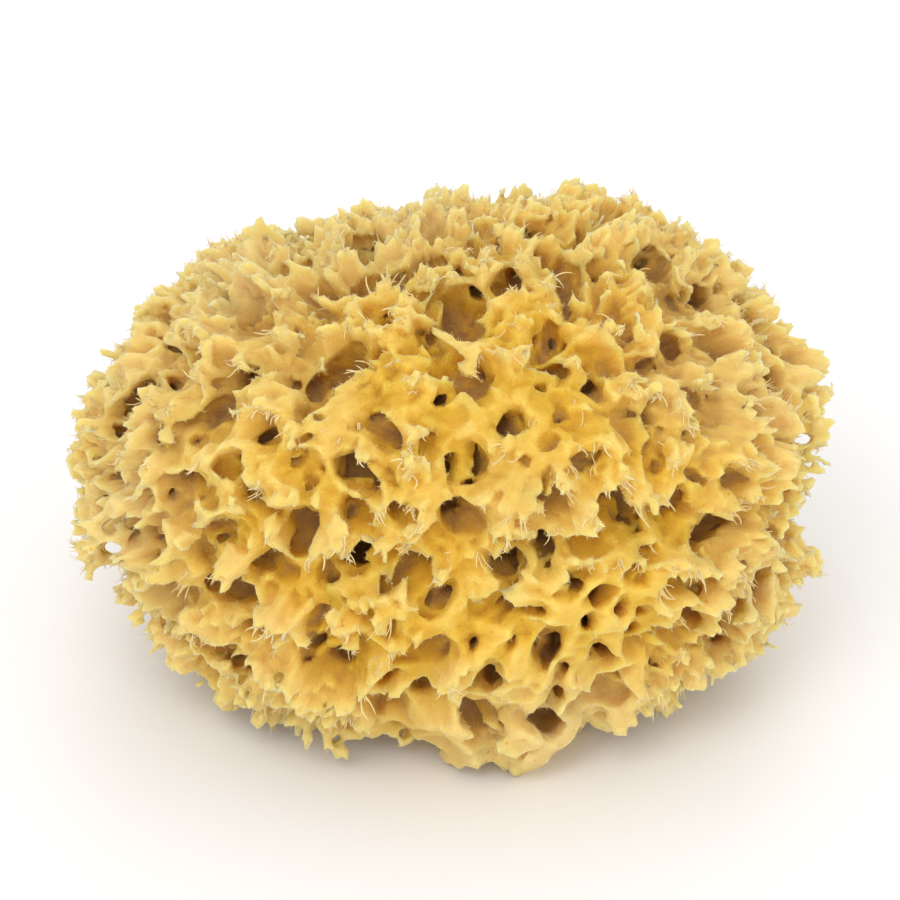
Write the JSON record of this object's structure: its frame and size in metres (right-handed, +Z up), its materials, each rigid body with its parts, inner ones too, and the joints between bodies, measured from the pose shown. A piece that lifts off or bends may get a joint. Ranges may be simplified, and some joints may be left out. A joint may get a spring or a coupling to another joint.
{
  "type": "sea sponge",
  "caption": "Natural bath sponge: a rounded golden mass riddled with open canals and frayed lobes, cut flat underneath to rest, for washing or display.",
  "frame": {"origin": "on the flat cut that the sponge rests on, under the middle of its box", "axes": "+X along the longest side, -Y towards the show side, +Z up"},
  "size_m": [0.139, 0.1146, 0.0934],
  "materials": {
    "sponge_fibre": "matte"
  },
  "bodies": {
    "root": {"sponge": "sponge_fibre"}
  },
  "joints": []
}
